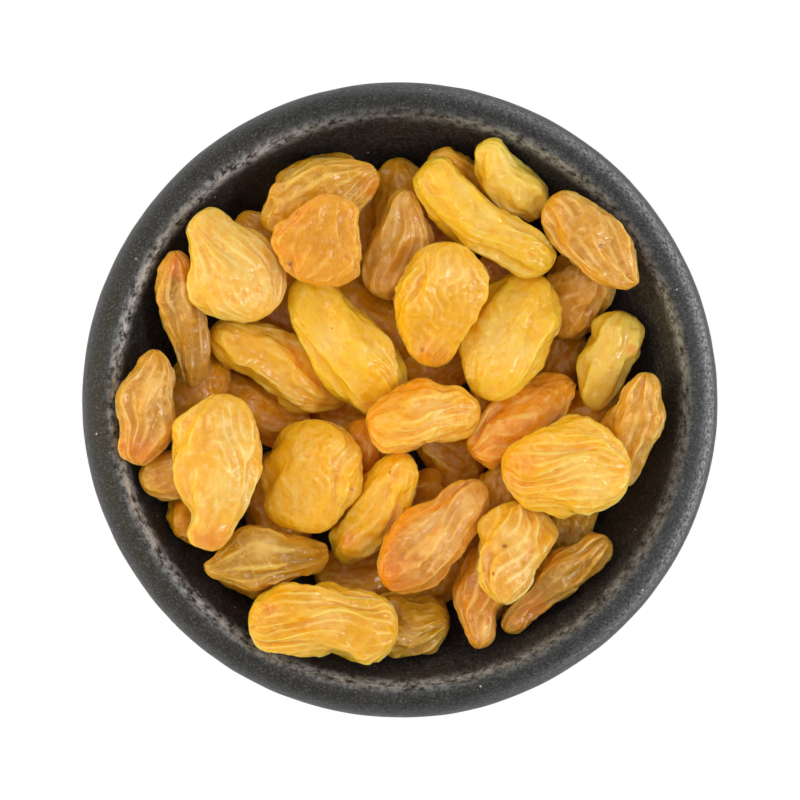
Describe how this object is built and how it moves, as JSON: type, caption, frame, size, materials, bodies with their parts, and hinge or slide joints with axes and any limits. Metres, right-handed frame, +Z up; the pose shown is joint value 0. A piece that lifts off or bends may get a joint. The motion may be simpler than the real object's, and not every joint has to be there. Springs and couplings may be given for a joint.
{
  "type": "bowl of golden raisins",
  "caption": "Small round black bowl with a thick rolled lip and a foot ring, heaped with wrinkled golden raisins.",
  "frame": {"origin": "middle of the foot ring, on the surface the bowl stands on", "axes": "+Z up along the axis of the bowl; +Y to the top and +X to the right of the picture, which looks straight down"},
  "size_m": [0.085, 0.085, 0.0314],
  "materials": {
    "bowl": "satin black glaze with a fine pale speckle, worn bright along the inner edge of the lip",
    "raisin_gold": "satin translucent wrinkled skin, golden",
    "raisin_yellow": "satin translucent wrinkled skin, bright yellow gold",
    "raisin_pale": "satin translucent wrinkled skin, pale peach gold",
    "raisin_orange": "satin translucent wrinkled skin, orange gold",
    "raisin_olive": "satin translucent wrinkled skin, olive gold",
    "raisin_tan": "satin translucent wrinkled skin, tan gold",
    "raisin_amber": "satin translucent wrinkled skin, amber brown in the shade of the pile",
    "raisin_brown": "satin translucent wrinkled skin, brown in the depth of the pile"
  },
  "bodies": {
    "root": {"bowl": "bowl", "raisin_floor_01": "raisin_brown", "raisin_floor_02": "raisin_brown", "raisin_floor_03": "raisin_brown", "raisin_floor_04": "raisin_brown", "raisin_middle_01": "raisin_amber", "raisin_middle_02": "raisin_amber", "raisin_middle_03": "raisin_brown", "raisin_middle_04": "raisin_olive", "raisin_middle_05": "raisin_brown", "raisin_middle_06": "raisin_amber", "raisin_middle_07": "raisin_orange", "raisin_middle_08": "raisin_amber", "raisin_middle_09": "raisin_brown", "raisin_middle_10": "raisin_brown", "raisin_middle_11": "raisin_brown", "raisin_middle_12": "raisin_brown", "raisin_middle_13": "raisin_tan", "raisin_middle_14": "raisin_amber", "raisin_middle_15": "raisin_orange", "raisin_middle_16": "raisin_amber", "raisin_middle_17": "raisin_brown", "raisin_middle_18": "raisin_amber", "raisin_middle_19": "raisin_brown", "raisin_middle_20": "raisin_amber", "raisin_middle_21": "raisin_brown", "raisin_middle_22": "raisin_olive", "raisin_middle_23": "raisin_brown", "raisin_middle_24": "raisin_brown", "raisin_middle_25": "raisin_brown", "raisin_middle_26": "raisin_orange", "raisin_top_01": "raisin_orange", "raisin_top_02": "raisin_tan", "raisin_top_03": "raisin_orange", "raisin_top_04": "raisin_olive", "raisin_top_05": "raisin_tan", "raisin_top_06": "raisin_tan", "raisin_top_07": "raisin_gold", "raisin_top_08": "raisin_tan", "raisin_top_09": "raisin_yellow", "raisin_top_10": "raisin_tan", "raisin_top_11": "raisin_tan", "raisin_top_12": "raisin_tan", "raisin_top_13": "raisin_olive", "raisin_top_14": "raisin_olive", "raisin_top_15": "raisin_gold", "raisin_top_16": "raisin_orange", "raisin_top_17": "raisin_pale", "raisin_top_18": "raisin_yellow", "raisin_top_19": "raisin_pale", "raisin_top_20": "raisin_gold", "raisin_top_21": "raisin_yellow", "raisin_top_22": "raisin_yellow", "raisin_top_23": "raisin_gold", "raisin_top_24": "raisin_yellow", "raisin_top_25": "raisin_orange", "raisin_top_26": "raisin_orange", "raisin_top_27": "raisin_gold", "raisin_top_28": "raisin_gold", "raisin_top_29": "raisin_pale"}
  },
  "joints": []
}
